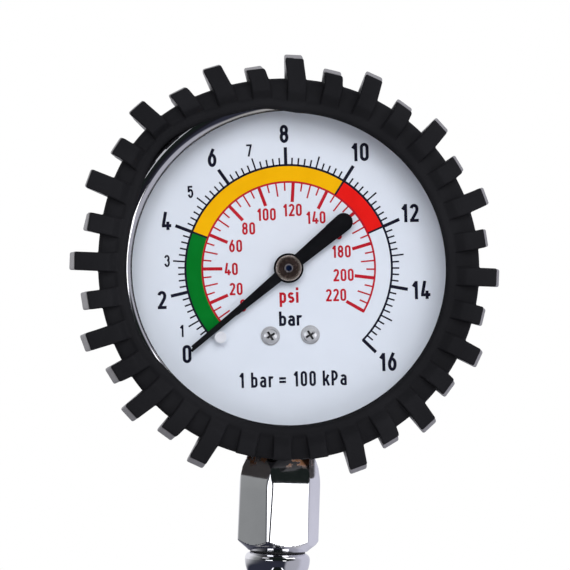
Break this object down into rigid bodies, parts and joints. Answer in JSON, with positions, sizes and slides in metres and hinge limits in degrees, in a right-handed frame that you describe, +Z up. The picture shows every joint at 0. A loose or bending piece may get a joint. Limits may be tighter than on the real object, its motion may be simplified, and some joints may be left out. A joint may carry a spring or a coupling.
{
  "type": "tyre inflator with gauge",
  "caption": "Hand-held tyre inflator: pistol body with squeeze lever, threaded air inlet and hose outlet, and a dial pressure gauge in a lugged rubber boot on a hexagon union nut.",
  "frame": {"origin": "centre of the air inlet's mouth, at the foot of the handle", "axes": "+Z up along the handle and the gauge stem, the dial faces -Y, the hose outlet points along +Y"},
  "size_m": [0.101, 0.0982, 0.2564],
  "materials": {
    "chrome_casting": "bright plated",
    "chrome_nut": "bright plated, satin flats",
    "plated_steel": "zinc plated",
    "spring_steel": "drawn wire",
    "brass": "machined",
    "copper": "annealed copper",
    "seal_rubber": "moulded",
    "boot_rubber": "moulded matte",
    "black_steel": "black enamel",
    "dial_white": "satin white print",
    "pointer_black": "matte black",
    "bush_bronze": "bronze, turned",
    "lens_clear": "clear",
    "button_red": "moulded",
    "pin_white": "moulded"
  },
  "bodies": {
    "pistol": {"body_casting": "chrome_casting", "inlet_fitting": "plated_steel", "inlet_seal": "copper", "inlet_filter": "brass", "outlet_nipple": "plated_steel", "outlet_seal": "copper", "lever_pin": "plated_steel", "lever_clip": "spring_steel", "valve_guide": "brass", "rod_seal": "seal_rubber", "valve_spring": "spring_steel", "valve_cap": "plated_steel", "cap_seal": "copper", "bleed_bush": "brass", "bleed_bush_seal": "copper", "bleed_spring": "spring_steel", "boss_washer": "seal_rubber", "coupling_nut": "chrome_nut", "stem_washer": "copper", "gauge_socket": "brass", "restrictor": "copper", "gauge_case": "black_steel", "case_screws": "plated_steel", "blowout_plug": "seal_rubber", "bourdon_tube": "copper", "tube_tip": "brass", "movement_back_plate": "brass", "movement_front_plate": "brass", "plate_pillars": "brass", "movement_screws": "plated_steel", "hairspring": "copper", "dial_plate": "dial_white", "dial_screws": "plated_steel", "stop_pin": "pin_white", "lens_gasket": "seal_rubber", "lens": "lens_clear", "bezel_ring": "chrome_casting", "gauge_boot": "boot_rubber"},
    "lever_unit": {"lever": "chrome_casting"},
    "valve_unit": {"valve_stem": "plated_steel", "valve_seal": "seal_rubber"},
    "bleed_unit": {"bleed_stem": "button_red", "bleed_seal": "seal_rubber"},
    "sector_unit": {"sector_gear": "brass", "sector_arbor": "plated_steel"},
    "link_unit": {"link": "brass"},
    "pointer_unit": {"pinion_arbor": "plated_steel", "pointer": "pointer_black", "pointer_bush": "bush_bronze"}
  },
  "joints": [
    {"name": "lever_squeeze", "type": "hinge", "parent": "pistol", "child": "lever_unit", "pos_m": [0, 0.022, 0.098], "axis": [-1, 0, 0], "range_deg": [0, 9], "stiffness_Nm_per_rad": 0.8, "springref_deg": -6.88, "deforming": ["valve_spring"]},
    {"name": "valve_slide", "type": "slide", "parent": "pistol", "child": "valve_unit", "axis": [0, -1, 0], "range_m": [0, 0.0023]},
    {"name": "bleed_press", "type": "slide", "parent": "pistol", "child": "bleed_unit", "axis": [0, 1, 0], "range_m": [0, 0.002], "stiffness_N_per_m": 600, "springref_m": -0.003, "deforming": ["bleed_spring"]},
    {"name": "sector_turn", "type": "hinge", "parent": "pistol", "child": "sector_unit", "pos_m": [0.0155, 0, 0.20026], "axis": [0, -1, 0], "range_deg": [0, 26.36], "stiffness_Nm_per_rad": 0.02, "springref_deg": -5.73},
    {"name": "pointer_turn", "type": "hinge", "parent": "pistol", "child": "pointer_unit", "pos_m": [0, 0, 0.2059], "axis": [0, 1, 0], "range_deg": [0, 263.6]},
    {"name": "link_swing", "type": "hinge", "parent": "sector_unit", "child": "link_unit", "pos_m": [0.02011, 0, 0.19725], "axis": [0, -1, 0], "range_deg": [-26.36, 0]}
  ],
  "couplings": [
    {"joint": "valve_slide", "follows": "lever_squeeze", "m_per_rad": 0.014528},
    {"joint": "pointer_turn", "follows": "sector_turn", "ratio": 10},
    {"joint": "link_swing", "follows": "sector_turn", "ratio": -1}
  ]
}
